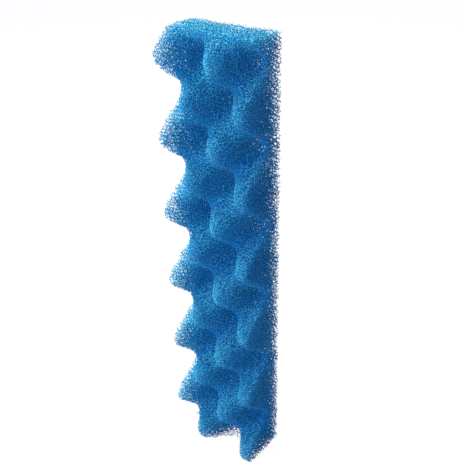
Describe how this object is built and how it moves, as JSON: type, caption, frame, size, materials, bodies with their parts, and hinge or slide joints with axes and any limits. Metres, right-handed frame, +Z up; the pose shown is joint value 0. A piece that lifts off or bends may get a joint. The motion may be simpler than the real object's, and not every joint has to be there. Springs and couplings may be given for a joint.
{
  "type": "filter foam strip",
  "caption": "Upright strip of blue open-cell filter foam with an egg-crate front of staggered rounded peaks, flat cut back, sides and ends.",
  "frame": {"origin": "middle of the bounding box's bottom face", "axes": "+Z up along the strip's length, -Y out of the egg-crate front, +Y out of the flat back, +X out of the right cut side"},
  "size_m": [0.0754, 0.0427, 0.357],
  "materials": {
    "blue_foam": "matte open-cell polyurethane foam, coarse pores, satin glints on the strands"
  },
  "bodies": {
    "root": {"foam_strip": "blue_foam"}
  },
  "joints": []
}
